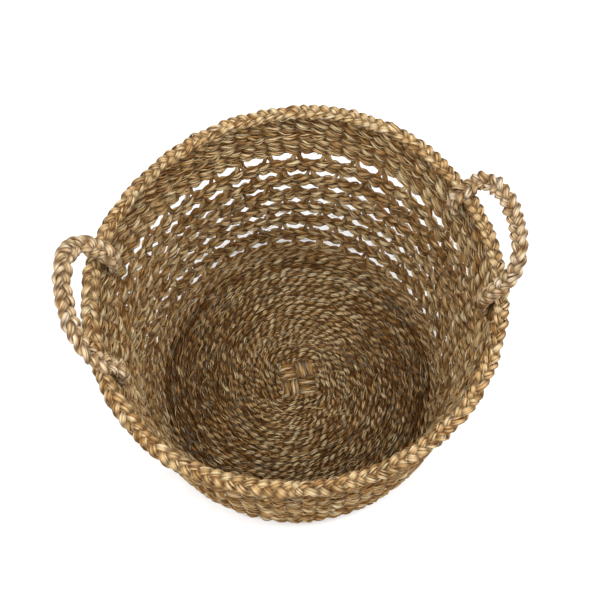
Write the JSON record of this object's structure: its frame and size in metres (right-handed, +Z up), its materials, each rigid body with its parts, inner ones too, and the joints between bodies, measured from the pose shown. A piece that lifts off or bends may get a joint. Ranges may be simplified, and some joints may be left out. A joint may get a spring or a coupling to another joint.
{
  "type": "storage basket",
  "caption": "Round twined storage basket with a flat floor, an open-work belly wall, a plaited rim and two plaited rope handles that flex at the rim.",
  "frame": {"origin": "under the middle of the base, at the level it stands on", "axes": "+Z up through the mouth, +X from the middle towards the right handle"},
  "size_m": [0.4228, 0.3974, 0.3554],
  "materials": {
    "wall_seagrass": "dry twisted seagrass, mixed brown and straw",
    "floor_seagrass": "dry twisted seagrass, mixed brown and grey-green",
    "plait_seagrass": "dry flat seagrass bundles, light straw"
  },
  "bodies": {
    "basket": {"cross_start_lengthwise": "floor_seagrass", "cross_start_crosswise": "floor_seagrass", "floor_stakes": "floor_seagrass", "floor_twining": "floor_seagrass", "wall_stakes": "wall_seagrass", "lower_wall_band": "wall_seagrass", "open_band_1": "wall_seagrass", "open_band_2": "wall_seagrass", "open_band_3": "wall_seagrass", "open_band_4": "wall_seagrass", "open_band_5": "wall_seagrass", "open_band_6": "wall_seagrass", "upper_wall_band": "wall_seagrass", "rim_plait_strand_1": "plait_seagrass", "rim_plait_strand_2": "plait_seagrass", "rim_plait_strand_3": "plait_seagrass", "right_handle_tucked_ends": "plait_seagrass", "left_handle_tucked_ends": "plait_seagrass"},
    "right_handle": {"right_handle_strand_1": "plait_seagrass", "right_handle_strand_2": "plait_seagrass", "right_handle_strand_3": "plait_seagrass"},
    "left_handle": {"left_handle_strand_1": "plait_seagrass", "left_handle_strand_2": "plait_seagrass", "left_handle_strand_3": "plait_seagrass"}
  },
  "joints": [
    {"name": "right_handle_flex", "type": "hinge", "parent": "basket", "child": "right_handle", "pos_m": [0.17, 0, 0.3051], "axis": [0, 1, 0], "range_deg": [-30, 30], "stiffness_Nm_per_rad": 0.3},
    {"name": "left_handle_flex", "type": "hinge", "parent": "basket", "child": "left_handle", "pos_m": [-0.17, 0, 0.3051], "axis": [0, -1, 0], "range_deg": [-30, 30], "stiffness_Nm_per_rad": 0.3}
  ]
}
